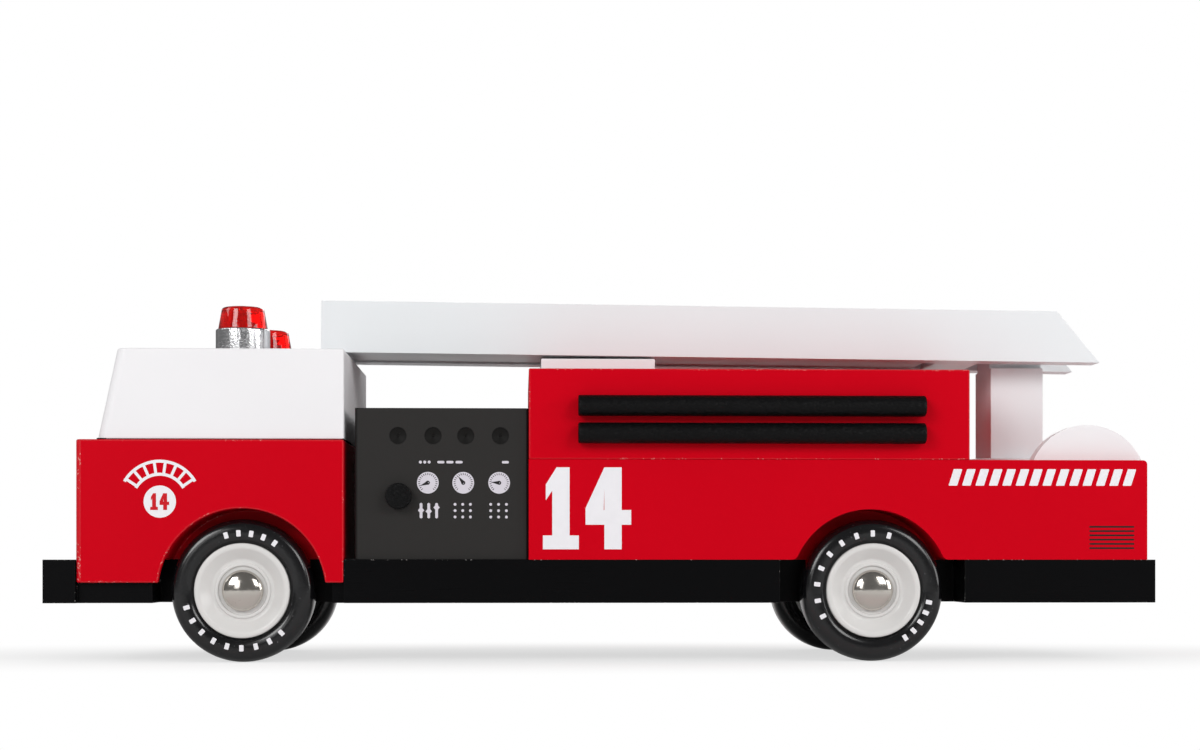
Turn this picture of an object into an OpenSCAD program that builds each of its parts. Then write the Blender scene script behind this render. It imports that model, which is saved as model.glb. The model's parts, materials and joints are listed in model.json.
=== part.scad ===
// Solid-wood toy ladder truck, built from painted blocks glued on a plank.
// Front is -X, the truck's left side is -Y, up is +Z.
// The origin is on the floor, under the middle of the truck.

/* [Overall] */
// Length from the front bumper to the rear end of the plank
truck_l = 334.4; // [330:0.1:340]
// Width over the painted blocks
body_w = 95; // [92:1:100]
// Smoothness of round pieces
round_fn = 96; // [48:8:128]

/* [Chassis] */
// Underside of the plank above the floor
chassis_z = 17.8; // [17:0.1:18.5]
// Thickness of the plank
chassis_t = 13; // [12:0.5:14]
// Width of the plank where it runs between the wheels
chassis_waist_w = 61; // [58:1:62]
// How far the plank stands out in front of the cab as a bumper
bumper_l = 9.7; // [6:0.1:12]
// Width of the plank under the cab, inside the cab's skirts
chassis_cab_w = 90; // [86:0.5:92]
// Where the plank is cut narrow for the front wheels, from the middle of the truck
front_cut_x = [-135.1, -81.5];
// Where the plank is cut narrow for the rear wheels, from the middle of the truck
rear_cut_x = [53, 109];

/* [Wheels] */
// Diameter of a wheel over its tyre
wheel_d = 43; // [42:0.5:44]
// Thickness of a tyre
tyre_t = 13; // [11:0.5:13]
// Rounding of a tyre's shoulders
tyre_edge_r = 4.2; // [2:0.1:5]
// Diameter of a rim
rim_d = 28.5; // [24:0.5:32]
// Front axle from the middle of the truck
axle_front_x = -108.3; // [-110:0.1:-107]
// Rear axle from the middle of the truck
axle_rear_x = 81.5; // [80:0.1:82]
// Diameter of an axle rod
axle_d = 5; // [4:0.5:6]
// Diameter of the domed cap on each axle end
cap_d = 12.4; // [11:0.2:14]

/* [Cab] */
// Rear face of the cab from the middle of the truck
cab_rear_x = -77.9; // [-78:0.1:-77.2]
// Lower edge of the cab's skirts
cab_skirt_z = 23.9; // [22:0.1:26]
// Top of the red lower cab block
cab_waist_z = 66.7; // [64:0.1:70]
// Top of the white upper cab block
cab_roof_z = 94; // [90:0.1:96]
// Set-back of the windscreen's foot behind the front face
screen_foot_l = 6; // [4:0.1:12]
// Lean of the windscreen from its foot to the roof
screen_lean = 5.9; // [2:0.1:10]
// Radius of the front wheel arch
front_arch_r = 25; // [24:0.1:26]
// Centre of the front wheel arch, along the truck and above the floor
front_arch_at = [-108.3, 21.1];

/* [Pump panel] */
// Front and rear faces of the pump panel block
panel_x = [-74.7, -22.6];
// Top of the pump panel block
panel_z = 76.3; // [72:0.1:80]
// How far each side of the panel block lies inside the body's side
panel_inset = 1.5; // [0.5:0.1:3]
// Diameter of a drilled dimple
dimple_d = 5; // [4:0.1:6]
// Diameter of the pump knob
knob_d = 7.8; // [6:0.1:9]

/* [Rear body] */
// Front and rear faces of the lower rear block
lower_x = [-22.6, 164.7];
// Top of the lower rear block, which is the rear deck
deck_z = 60.9; // [58:0.1:63]
// Front and rear faces of the upper rear block
upper_x = [-22.6, 110.6];
// Top of the upper rear block
upper_z = 88.2; // [85:0.1:89]
// Radius of the rear wheel arch
rear_arch_r = 24.2; // [23:0.1:26]
// Centre of the rear wheel arch, along the truck and above the floor
rear_arch_at = [80.4, 21.8];
// Fillet at each foot of the rear wheel arch
arch_foot_r = 2; // [1:0.1:6]
// Diameter of a side hose rod
hose_d = 6.4; // [5:0.1:7]
// Front and rear ends of the side hose rods
hose_x = [-7.8, 96.6];
// Heights of the two hose rods on each side
hose_z = [68.7, 76.9];
// Front and rear faces of the block that the ladder lies over
rest_x = [-18.7, 16.9];
// Thickness of the block that the ladder lies over
rest_t = 5.3; // [4:0.1:5.6]
// Radius of a half-round deck guard
guard_r = 19.2; // [17:0.1:20]
// Thickness of a deck guard
guard_t = 6; // [4:0.5:8]

/* [Beacons] */
// Beacons from the middle of the truck, along its length
beacon_x = -109.5; // [-112:0.1:-107]
// Beacons from the truck's centre line
beacon_y = 34.3; // [30:0.1:38]
// Diameter of a beacon's metal base
beacon_base_d = 16.4; // [14:0.1:17]
// Height of a beacon's metal base
beacon_base_h = 6.7; // [5:0.1:9]
// Lower and upper diameters of a beacon's lens
lens_d = [15, 12.6];
// Height of a beacon's lens
lens_h = 6.7; // [5:0.1:9]

/* [Mast] */
// Swivel axis of the mast from the middle of the truck
mast_x = 133.1; // [132:0.1:134]
// Size of the mast along the truck
mast_l = 16.8; // [14:0.1:17]
// Size of the mast across the truck
mast_w = 23.2; // [20:0.1:23.4]
// Top of the mast
mast_z = 106; // [104:0.5:107]
// Width of the mast's top, which stands between the ladder's rails
mast_top_w = 18; // [14:0.5:20]
// Height of the mast's shoulders, just under the rails
mast_shoulder_z = 91.9; // [90:0.1:92]
// Diameter of the round foot that the mast turns on
turntable_d = 34; // [30:0.5:38]
// Height of the ladder's pivot pin above the floor
pivot_z = 100.5; // [100:0.1:101]
// Diameter of the ladder's pivot pin
pivot_d = 5; // [4:0.5:6]

/* [Ladder] */
// Height of a ladder rail
rail_h = 16; // [14:0.1:16.5]
// Thickness of a ladder rail
rail_t = 9.8; // [8:0.1:10]
// Slope of the ladder at rest, front end up, in degrees
ladder_slope = 0.6; // [0.3:0.1:0.8]
// From the pivot to the ladder's front end
ladder_front_l = 220.1; // [200:0.1:222]
// From the pivot to the lower corner of the ladder's rear end
ladder_tail_l = 24; // [20:0.1:24.2]
// Slant of the ladder's rear end, from its lower to its upper corner
tail_slant = 13.7; // [5:0.1:14]
// Length of the sliding fly section
fly_l = 191; // [180:1:192]
// Spacing of the rungs on the fly section
rung_pitch = 16; // [14:1:20]
// Thickness of a rung along the ladder
rung_t = 5; // [4:0.5:6]

/* [Hidden] */
$fn = round_fn;

LEFT = -1;
RIGHT = 1;

// Paint colours
RED = [0.80, 0.02, 0.11];
WHITE = [0.93, 0.92, 0.93];
BLACK = [0.05, 0.05, 0.05];
PANEL_GREY = [0.23, 0.22, 0.21];
STEEL = [0.78, 0.77, 0.75];
LENS_RED = [0.85, 0.08, 0.06];

// Clearances: a turning fit, a sliding fit and the gap beside a turning face
turn_gap = 0.05;
slide_gap = 0.3;
face_gap = 0.3;

half_l = truck_l / 2;
half_w = body_w / 2;
waist_y = chassis_waist_w / 2;
cab_plank_y = chassis_cab_w / 2;
chassis_top = chassis_z + chassis_t;
axle_z = wheel_d / 2;
axle_r = axle_d / 2;
cab_front_x = bumper_l - half_l;

// Wheel, measured outwards from its inner face
wheel_in_y = 33.5;
rim_t = 13.4;
rim_lip_r = rim_d / 2 - 1.6;
dish_r = 8.2;
dish_depth = 3;
rim_boss_r = 5;
cap_base_u = rim_t - dish_depth + face_gap;
cap_h = 2.9;
cap_band_h = 0.6;

roof_inset = 1;
screen_t = 0.8;
screen_y = 38;
screen_margin = [4.5, 4];
grille_y = 20;
grille_z = [38, 56];
grille_t = 1.2;
headlight_r = 6;
headlight_t = 1.2;
headlight_y = 33;
headlight_z = 47;

panel_y = half_w - panel_inset;
dimple_x = [-61.8, -51.3, -41.5, -31.1];
dimple_z = 68;
dimple_depth = 1.2;
knob_x = -61.6;
knob_z = 49.8;
knob_t = 3.4;

hose_flat = 0.6;
guard_x = 148.6;
guard_z = 52.7;
guard_y = 41.5;

turntable_t = 2;
turntable_z = deck_z + 0.1;
spigot_r = 3;
spigot_l = 14;
mast_foot_z = turntable_z + turntable_t;
mast_front_x = mast_x - mast_l / 2;
mast_rear_x = mast_x + mast_l / 2;

// Ladder, measured from the pivot along its own slope
rail_y = mast_w / 2 + 0.4;
rail_z = -7.5;
pivot_reach = 6;
groove_h = 3.2;
groove_depth = 2;
fly_y = rail_y - slide_gap;
fly_z = rail_z + 0.5;
fly_top = 7;
fly_floor_t = 4;
fly_side_t = 3.5;
fly_end_l = 7;
block_x = [-26.5, -12.5];

// A box across the truck, from x0 to x1 and from z0 to z1
module cross_box(x0, x1, y, z0, z1) {
    translate([x0, -y, z0])
        cube([x1 - x0, 2 * y, z1 - z0]);
}

// A rod across the truck, from y0 to y1
module cross_rod(x, z, r, y0, y1) {
    translate([x, y0, z])
        rotate([-90, 0, 0])
            cylinder(r = r, h = y1 - y0);
}

// A side outline drawn in X and Z, cut through from y0 to y1
module side_cut(y0, y1) {
    translate([0, y1, 0])
        rotate([90, 0, 0])
            linear_extrude(y1 - y0)
                children();
}

// Both sides of the truck, mirrored about its centre line
module both_sides() {
    children();
    mirror([0, 1, 0])
        children();
}

// A turned piece of a wheel: its axis points outwards on the given side
module on_axle(x, side) {
    translate([x, side * wheel_in_y, axle_z])
        rotate([side * -90, 0, 0])
            children();
}

// The ladder's own frame: its origin is the pivot and -X runs to its front end
module on_ladder() {
    translate([mast_x, 0, pivot_z])
        rotate([0, ladder_slope, 0])
            children();
}

// The rear arch's outline, with a fillet at each foot
module filleted_arch(at, r, foot_r, foot_z) {
    rise = foot_z + foot_r - at[1];
    foot_x = sqrt(pow(r + foot_r, 2) - rise * rise);
    touch_z = at[1] + rise * r / (r + foot_r);
    translate(at)
        circle(r = r);
    difference() {
        translate([at[0] - foot_x, foot_z - 1])
            square([2 * foot_x, touch_z - foot_z + 1]);
        for (side = [-1, 1])
            translate([at[0] + side * foot_x, foot_z + foot_r])
                circle(r = foot_r);
    }
}

module chassis() {
    color(BLACK)
        difference() {
            union() {
                cross_box(-half_l, cab_front_x, half_w, chassis_z, chassis_top);
                cross_box(-half_l, front_cut_x[0], cab_plank_y, chassis_z, chassis_top);
                cross_box(-half_l, half_l, waist_y, chassis_z, chassis_top);
                cross_box(front_cut_x[1], rear_cut_x[0], cab_plank_y, chassis_z, chassis_top);
                cross_box(cab_rear_x, rear_cut_x[0], half_w, chassis_z, chassis_top);
                cross_box(rear_cut_x[1], half_l, half_w, chassis_z, chassis_top);
            }
            for (x = [axle_front_x, axle_rear_x])
                cross_rod(x, axle_z, axle_r, -half_w, half_w);
        }
}

module axle(x) {
    reach = wheel_in_y + cap_base_u;
    color(STEEL)
        cross_rod(x, axle_z, axle_r, -reach, reach);
}

module tyre(x, side) {
    wheel_r = wheel_d / 2;
    rim_r = rim_d / 2;
    color(BLACK)
        on_axle(x, side)
            rotate_extrude()
                intersection() {
                    translate([rim_r, 0])
                        square([wheel_r - rim_r, tyre_t]);
                    union() {
                        square([wheel_r - tyre_edge_r, tyre_t]);
                        translate([0, tyre_edge_r])
                            square([wheel_r, tyre_t - 2 * tyre_edge_r]);
                        for (u = [tyre_edge_r, tyre_t - tyre_edge_r])
                            translate([wheel_r - tyre_edge_r, u])
                                circle(r = tyre_edge_r);
                    }
                }
}

module rim(x, side) {
    boss_u = waist_y + face_gap - wheel_in_y;
    bore_r = axle_r + turn_gap;
    color(WHITE)
        on_axle(x, side)
            rotate_extrude()
                polygon([
                    [bore_r, boss_u],
                    [rim_boss_r, boss_u],
                    [rim_boss_r, 0],
                    [rim_d / 2, 0],
                    [rim_d / 2, rim_t],
                    [rim_lip_r, rim_t],
                    [dish_r, rim_t - dish_depth],
                    [bore_r, rim_t - dish_depth]
                ]);
}

// A solid domed cap on the axle's end, which keeps the wheel on
module cap(x, side) {
    cap_r = cap_d / 2;
    dome_h = cap_h - cap_band_h;
    dome_r = (cap_r * cap_r + dome_h * dome_h) / (2 * dome_h);
    color(STEEL)
        on_axle(x, side)
            translate([0, 0, cap_base_u]) {
                cylinder(r = cap_r, h = cap_band_h);
                intersection() {
                    translate([0, 0, cap_h - dome_r])
                        sphere(r = dome_r);
                    cylinder(r = cap_r, h = cap_h);
                }
            }
}

module cab_body() {
    color(RED)
        difference() {
            cross_box(cab_front_x, cab_rear_x, half_w, cab_skirt_z, cab_waist_z);
            cross_box(cab_front_x - 1, cab_rear_x + 1, cab_plank_y, cab_skirt_z - 1, chassis_top);
            both_sides()
                cross_rod(front_arch_at[0], front_arch_at[1], front_arch_r, waist_y, half_w + 1);
        }
}

screen_foot_x = cab_front_x + screen_foot_l;

module cab_roof() {
    y = half_w - roof_inset;
    color(WHITE)
        side_cut(-y, y)
            polygon([
                [screen_foot_x, cab_waist_z],
                [screen_foot_x + screen_lean, cab_roof_z],
                [cab_rear_x, cab_roof_z],
                [cab_rear_x, cab_waist_z]
            ]);
}

// Dark panel let on to the sloping front of the cab
module windscreen() {
    lean = screen_lean / (cab_roof_z - cab_waist_z);
    low_x = screen_foot_x + lean * screen_margin[0];
    high_x = screen_foot_x + screen_lean - lean * screen_margin[1];
    color(BLACK)
        side_cut(-screen_y, screen_y)
            polygon([
                [low_x, cab_waist_z + screen_margin[0]],
                [high_x, cab_roof_z - screen_margin[1]],
                [high_x - screen_t, cab_roof_z - screen_margin[1]],
                [low_x - screen_t, cab_waist_z + screen_margin[0]]
            ]);
}

module grille() {
    color(BLACK)
        cross_box(cab_front_x - grille_t, cab_front_x, grille_y, grille_z[0], grille_z[1]);
}

module headlight(side) {
    color(WHITE)
        translate([cab_front_x - headlight_t, side * headlight_y, headlight_z])
            rotate([0, 90, 0])
                cylinder(r = headlight_r, h = headlight_t);
}

module beacon_base(side) {
    color(STEEL)
        translate([beacon_x, side * beacon_y, cab_roof_z])
            cylinder(d = beacon_base_d, h = beacon_base_h);
}

module beacon_lens(side) {
    color(LENS_RED)
        translate([beacon_x, side * beacon_y, cab_roof_z + beacon_base_h])
            cylinder(d1 = lens_d[0], d2 = lens_d[1], h = lens_h);
}

module pump_panel() {
    color(PANEL_GREY)
        difference() {
            cross_box(panel_x[0], panel_x[1], panel_y, chassis_top, panel_z);
            both_sides()
                for (x = dimple_x)
                    cross_rod(x, dimple_z, dimple_d / 2, panel_y - dimple_depth, panel_y + 1);
        }
}

module pump_knob(side) {
    color(BLACK)
        translate([knob_x, side * panel_y, knob_z])
            rotate([side * -90, 0, 0])
                cylinder(d = knob_d, h = knob_t);
}

module body_lower() {
    color(RED)
        difference() {
            cross_box(lower_x[0], lower_x[1], half_w, chassis_top, deck_z);
            both_sides()
                side_cut(waist_y, half_w + 1)
                    filleted_arch(rear_arch_at, rear_arch_r, arch_foot_r, chassis_top);
            translate([mast_x, 0, turntable_z - spigot_l - 1])
                cylinder(r = spigot_r + turn_gap, h = spigot_l + 2);
        }
}

module body_upper() {
    color(RED)
        cross_box(upper_x[0], upper_x[1], half_w, deck_z, upper_z);
}

// One of the black rods along the side, with a narrow flat glued to the block
module hose(side, z) {
    r = hose_d / 2;
    color(BLACK)
        difference() {
            translate([hose_x[0], side * (half_w + r - hose_flat), z])
                rotate([0, 90, 0])
                    cylinder(r = r, h = hose_x[1] - hose_x[0]);
            body_upper();
        }
}

module ladder_rest() {
    color(WHITE)
        cross_box(rest_x[0], rest_x[1], rail_y + rail_t, upper_z, upper_z + rest_t);
}

module deck_guard(side) {
    low_y = side > 0 ? guard_y - guard_t : -guard_y;
    color(WHITE)
        side_cut(low_y, low_y + guard_t)
            intersection() {
                translate([guard_x, guard_z])
                    circle(r = guard_r);
                translate([guard_x - guard_r, deck_z])
                    square([lower_x[1] - guard_x + guard_r, guard_r]);
            }
}

// Round foot with a spigot that turns in the deck
module turntable() {
    color(WHITE) {
        translate([mast_x, 0, turntable_z])
            cylinder(d = turntable_d, h = turntable_t);
        translate([mast_x, 0, turntable_z - spigot_l])
            cylinder(r = spigot_r, h = spigot_l);
    }
}

module mast() {
    color(WHITE)
        difference() {
            union() {
                cross_box(mast_front_x, mast_rear_x, mast_w / 2, mast_foot_z, mast_shoulder_z);
                cross_box(mast_front_x, mast_rear_x, mast_top_w / 2, mast_foot_z, mast_z);
            }
            cross_rod(mast_x, pivot_z, pivot_d / 2, -mast_w, mast_w);
        }
}

module pivot_pin() {
    reach = rail_y + pivot_reach;
    color(STEEL)
        cross_rod(mast_x, pivot_z, pivot_d / 2, -reach, reach);
}

// One side rail, with a blind bore for the pin and a groove for the fly section
module rail(side) {
    low_y = side > 0 ? rail_y : -rail_y - rail_t;
    inner_y = side > 0 ? rail_y - 1 : -rail_y - groove_depth;
    bore_y = side > 0 ? rail_y - 1 : -rail_y - pivot_reach - slide_gap;
    top_z = rail_z + rail_h;
    color(WHITE)
        on_ladder()
            difference() {
                side_cut(low_y, low_y + rail_t)
                    polygon([
                        [-ladder_front_l, rail_z],
                        [ladder_tail_l, rail_z],
                        [ladder_tail_l - tail_slant, top_z],
                        [-ladder_front_l, top_z]
                    ]);
                translate([-ladder_front_l - 1, inner_y, -groove_h / 2])
                    cube([fly_l + 2, groove_depth + 1, groove_h]);
                cross_rod(0, 0, pivot_d / 2 + turn_gap, bore_y, bore_y + pivot_reach + slide_gap + 1);
            }
}

// Block glued between the rails in front of the mast
module ladder_block() {
    color(WHITE)
        on_ladder()
            cross_box(block_x[0], block_x[1], rail_y, rail_z, fly_top);
}

// Inner section that slides out to the front, with a tongue in each rail's groove
module ladder_fly() {
    tongue_h = groove_h - 2 * slide_gap;
    tongue_y = rail_y + groove_depth - slide_gap;
    rung_count = floor((fly_l - 2 * fly_end_l + rung_t) / rung_pitch);
    first_x = (fly_l - rung_count * rung_pitch + rung_t) / 2;
    color(WHITE)
        on_ladder()
            translate([-ladder_front_l, 0, 0])
                difference() {
                    union() {
                        cross_box(0, fly_l, fly_y, fly_z, fly_top);
                        cross_box(0, fly_l, tongue_y, -tongue_h / 2, tongue_h / 2);
                    }
                    for (i = [0 : rung_count - 1])
                        cross_box(
                            first_x + i * rung_pitch,
                            first_x + (i + 1) * rung_pitch - rung_t,
                            fly_y - fly_side_t,
                            fly_z + fly_floor_t,
                            fly_top + 1
                        );
                }
}

chassis();
axle(axle_front_x);  // axle_front
axle(axle_rear_x);  // axle_rear
tyre(axle_front_x, LEFT);  // tyre_front_left
tyre(axle_front_x, RIGHT);  // tyre_front_right
tyre(axle_rear_x, LEFT);  // tyre_rear_left
tyre(axle_rear_x, RIGHT);  // tyre_rear_right
rim(axle_front_x, LEFT);  // rim_front_left
rim(axle_front_x, RIGHT);  // rim_front_right
rim(axle_rear_x, LEFT);  // rim_rear_left
rim(axle_rear_x, RIGHT);  // rim_rear_right
cap(axle_front_x, LEFT);  // cap_front_left
cap(axle_front_x, RIGHT);  // cap_front_right
cap(axle_rear_x, LEFT);  // cap_rear_left
cap(axle_rear_x, RIGHT);  // cap_rear_right
cab_body();
cab_roof();
windscreen();
grille();
headlight(LEFT);  // headlight_left
headlight(RIGHT);  // headlight_right
beacon_base(LEFT);  // beacon_base_left
beacon_base(RIGHT);  // beacon_base_right
beacon_lens(LEFT);  // beacon_lens_left
beacon_lens(RIGHT);  // beacon_lens_right
pump_panel();
pump_knob(LEFT);  // pump_knob_left
pump_knob(RIGHT);  // pump_knob_right
body_lower();
body_upper();
ladder_rest();
hose(LEFT, hose_z[1]);  // hose_upper_left
hose(LEFT, hose_z[0]);  // hose_lower_left
hose(RIGHT, hose_z[1]);  // hose_upper_right
hose(RIGHT, hose_z[0]);  // hose_lower_right
deck_guard(LEFT);  // deck_guard_left
deck_guard(RIGHT);  // deck_guard_right
turntable();
mast();
pivot_pin();
rail(LEFT);  // rail_left
rail(RIGHT);  // rail_right
ladder_block();
ladder_fly();
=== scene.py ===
"""A solid-wood toy ladder fire truck, finished in paint, rubber, bright metal and clear red plastic."""

import json
import math

import bmesh
import bpy
from mathutils import Matrix, Vector, noise


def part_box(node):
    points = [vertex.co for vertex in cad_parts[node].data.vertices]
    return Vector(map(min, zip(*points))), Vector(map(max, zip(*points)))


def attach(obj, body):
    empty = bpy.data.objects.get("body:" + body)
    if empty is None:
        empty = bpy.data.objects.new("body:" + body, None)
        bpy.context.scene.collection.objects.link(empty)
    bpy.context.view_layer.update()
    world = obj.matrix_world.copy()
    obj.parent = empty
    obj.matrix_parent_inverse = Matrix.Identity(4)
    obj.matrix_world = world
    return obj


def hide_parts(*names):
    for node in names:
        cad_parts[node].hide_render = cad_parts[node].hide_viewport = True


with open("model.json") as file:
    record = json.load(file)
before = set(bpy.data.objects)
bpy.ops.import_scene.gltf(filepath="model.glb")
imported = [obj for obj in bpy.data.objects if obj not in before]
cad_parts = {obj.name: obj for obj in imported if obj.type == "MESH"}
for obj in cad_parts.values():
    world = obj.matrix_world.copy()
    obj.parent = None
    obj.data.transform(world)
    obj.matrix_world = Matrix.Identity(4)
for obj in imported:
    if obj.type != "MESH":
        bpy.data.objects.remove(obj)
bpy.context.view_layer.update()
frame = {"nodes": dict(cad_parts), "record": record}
MM = 0.001

# ---------------------------------------------------------------- camera
# A long lens, level with the running board and a little ahead of the truck's
# middle. The truck's nose is turned two degrees towards it.
front_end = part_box("chassis")[0].x
camera_data = bpy.data.cameras.new("camera")
camera_data.lens = 65.0
camera_data.sensor_width = 36.0
camera_data.shift_y = 0.1533
camera_data.clip_start = 0.01
camera_data.clip_end = 50.0
camera = bpy.data.objects.new("camera", camera_data)
camera.location = (front_end + 142.6 * MM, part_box("chassis")[0].y - 650.0 * MM, 31.0 * MM)
camera.rotation_euler = (math.radians(90.0), 0.0, math.radians(-2.06))
bpy.context.scene.collection.objects.link(camera)
bpy.context.scene.camera = camera


# ---------------------------------------------------------------- studio
# A pale floor that keeps the truck's shadow, a white surround, two softboxes
# in front, left and right, a weak fill, one behind and one at each end.
class Wire:
    """A socket in a node tree. Sums and products of wires and numbers add Math nodes."""

    def __init__(self, tree, socket=None):
        self.tree = tree
        self.socket = socket

    def add(self, kind, settings=None, inputs=None, output=0):
        """One node of any kind: its settings first, then the values or links of its sockets."""
        node = self.tree.nodes.new(kind)
        for key, value in (settings or {}).items():
            setattr(node, key, value)
        for key, value in (inputs or {}).items():
            for part in value if isinstance(value, list) else [value]:
                if isinstance(part, Wire):
                    self.tree.links.new(part.socket, node.inputs[key])
                else:
                    node.inputs[key].default_value = part
        return Wire(self.tree, node.outputs[output] if len(node.outputs) else None)

    def maths(self, operation, *values):
        """One Math node on this wire and the given values."""
        inputs = dict(enumerate((self, *values)))
        return self.add("ShaderNodeMath", {"operation": operation}, inputs)

    def __add__(self, other):
        return self.maths("ADD", other)

    __radd__ = __add__

    def __sub__(self, other):
        return self.maths("SUBTRACT", other)

    def __rsub__(self, other):
        return (self * -1.0) + other

    def __mul__(self, other):
        return self.maths("MULTIPLY", other)

    __rmul__ = __mul__

    def __gt__(self, other):
        return self.maths("GREATER_THAN", other)


def ray_is(wire, kind):
    """One where the ray is of that kind, such as Camera, and zero elsewhere."""
    return wire.add("ShaderNodeLightPath", output=f"Is {kind} Ray")


def floor_finish():
    """White paper, brightened for the camera: partly by the truck and fully further off."""
    material = bpy.data.materials.new("floor_paper")
    material.use_nodes = True
    material.node_tree.nodes.clear()
    wire = Wire(material.node_tree)
    fibre = wire.add("ShaderNodeTexNoise", inputs={"Scale": 900.0, "Detail": 3.0})
    paper = wire.add("ShaderNodeBsdfDiffuse", inputs={"Color": fibre * 0.02 + 0.88})
    glow = wire.add("ShaderNodeEmission", inputs={"Strength": 1.0})
    place = wire.add("ShaderNodeTexCoord", output="Object")
    squeezed = wire.add("ShaderNodeMapping", inputs={"Vector": place, "Scale": (0.36, 1.0, 1.0)})
    away = wire.add("ShaderNodeVectorMath", {"operation": "LENGTH"}, {0: squeezed}, output="Value")
    far_off = wire.add(
        "ShaderNodeMapRange",
        {"interpolation_type": "SMOOTHSTEP"},
        {"Value": away, "From Min": 0.045, "From Max": 0.125, "To Min": 0.66, "To Max": 1.0},
    )
    seen_directly = ray_is(wire, "Camera") + ray_is(wire, "Transmission")
    lift = seen_directly * far_off + ray_is(wire, "Glossy") * 0.05
    surface = wire.add("ShaderNodeMixShader", inputs={0: lift, 1: paper, 2: glow})
    wire.add("ShaderNodeOutputMaterial", inputs={"Surface": surface})
    return material


FLOOR_REACH = 4.0
floor_mesh = bpy.data.meshes.new("floor")
floor_mesh.from_pydata(
    [(x * FLOOR_REACH, y * FLOOR_REACH, 0.0) for x, y in ((-1, -1), (1, -1), (1, 1), (-1, 1))],
    [],
    [(0, 1, 2, 3)],
)
floor_mesh.materials.append(floor_finish())
floor = bpy.data.objects.new("floor", floor_mesh)
bpy.context.scene.collection.objects.link(floor)

world = bpy.data.worlds.new("surround")
world.use_nodes = True
world.node_tree.nodes.clear()
sky = Wire(world.node_tree)
AMBIENT = 0.36
MIRRORED = 0.17
seen = ray_is(sky, "Camera") + ray_is(sky, "Transmission")
strength = seen * (1.0 - AMBIENT) + ray_is(sky, "Glossy") * (MIRRORED - AMBIENT) + AMBIENT
background = sky.add(
    "ShaderNodeBackground", inputs={"Color": (1.0, 1.0, 1.0, 1.0), "Strength": strength}
)
sky.add("ShaderNodeOutputWorld", inputs={"Surface": background})
bpy.context.scene.world = world


def softbox(name, size, place, aim, watts):
    """A rectangular lamp that faces a point."""
    lamp = bpy.data.lights.new(name, "AREA")
    lamp.shape = "RECTANGLE"
    lamp.size, lamp.size_y = size
    lamp.energy = watts
    holder = bpy.data.objects.new(name, lamp)
    holder.location = place
    direction = Vector(aim) - Vector(place)
    holder.rotation_euler = direction.to_track_quat("-Z", "Y").to_euler()
    bpy.context.scene.collection.objects.link(holder)


softbox("left_softbox", (0.6, 0.6), (-0.95, -1.3, 0.75), (0.0, 0.0, 0.05), 9.5)
softbox("right_softbox", (0.6, 0.6), (0.95, -1.3, 0.75), (0.0, 0.0, 0.05), 7.5)
softbox("left_end_softbox", (0.5, 0.5), (-1.3, -0.1, 0.85), (0.0, 0.0, 0.05), 2.5)
softbox("right_end_softbox", (0.5, 0.5), (1.2, -0.5, 0.35), (-0.05, 0.0, 0.07), 3.5)
softbox("front_fill", (0.3, 0.5), (-0.55, -1.4, 0.4), (0.12, 0.0, 0.07), 1.1)
softbox("back_softbox", (1.2, 0.7), (0.3, 1.5, 0.8), (0.0, 0.0, 0.05), 8.0)

bpy.context.scene.view_settings.view_transform = "Standard"

# ---------------------------------------------------------------- chassis plank
# One plank of beech, sanded, its edges eased, and sprayed black. It is the
# bumper in front and the running board along the sides.
BLACK = (0.0022, 0.0022, 0.0026)


def principled(name, **constants):
    """A new material, its wire, and its shader with the sockets that stay the same all over."""
    material = bpy.data.materials.new(name)
    material.use_nodes = True
    shader = material.node_tree.nodes["Principled BSDF"]
    for socket, value in constants.items():
        shader.inputs[socket.replace("_", " ")].default_value = value
    return material, Wire(material.node_tree), shader


def join(wire, shader, **sockets):
    """Links wires to the shader's sockets, named with underscores for spaces."""
    for name, value in sockets.items():
        wire.tree.links.new(value.socket, shader.inputs[name.replace("_", " ")])


def speckle(wire, place, scale, detail=2.0):
    """Noise, from zero to one, with features of about one metre over the scale."""
    return wire.add("ShaderNodeTexNoise", inputs={"Vector": place, "Scale": scale, "Detail": detail})


def blended(wire, share, low, high):
    """One colour where the share is zero and another where it is one."""
    colours = [tone if isinstance(tone, Wire) else (*tone, 1.0) for tone in (low, high)]
    return wire.add(
        "ShaderNodeMix",
        {"data_type": "RGBA"},
        {"Factor": share, 6: colours[0], 7: colours[1]},
        output=2,
    )


def bumped(wire, height, depth, strength=0.15):
    """A normal from a height map, whose full range stands for the depth in metres."""
    return wire.add(
        "ShaderNodeBump", inputs={"Height": height, "Strength": strength, "Distance": depth}
    )


def painted_wood(name, colour, gloss=0.34, sheen=0.2, chip_and_glint_colour=None):
    """Sprayed wood: faint long grain under the coat and a little orange peel.

    The last argument is the colour of small light flecks on an edge: partly chips in the paint, partly
    painted glints on the rounded edge.
    """
    material, wire, shader = principled(name, Specular_IOR_Level=sheen)
    place = wire.add("ShaderNodeTexCoord", output="Object")
    along = wire.add("ShaderNodeMapping", inputs={"Vector": place, "Scale": (40.0, 900.0, 900.0)})
    grain = speckle(wire, along, 1.0, 4.0)
    peel = speckle(wire, place, 1500.0)
    cloud = speckle(wire, place, 26.0)
    coat = blended(wire, cloud, tuple(part * 0.95 for part in colour), colour)
    height = grain * 0.3 + peel * 0.25
    if chip_and_glint_colour:
        # Light flecks along the edge: partly chips in the paint, partly painted glints of light
        crumbs = speckle(wire, place, 1700.0, 1.0)
        patches = speckle(wire, place, 95.0, 1.0)
        chip_and_glint_marks = (crumbs > 0.655) * (patches > 0.52)
        coat = blended(wire, chip_and_glint_marks * 0.75, coat, chip_and_glint_colour)
        height = height + speckle(wire, place, 900.0) * 1.2
    normal = bumped(wire, height, 0.0002)
    rough = cloud * 0.07 + (gloss - 0.04) + grain * 0.05
    join(wire, shader, Base_Color=coat, Roughness=rough, Normal=normal)
    return material


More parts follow.
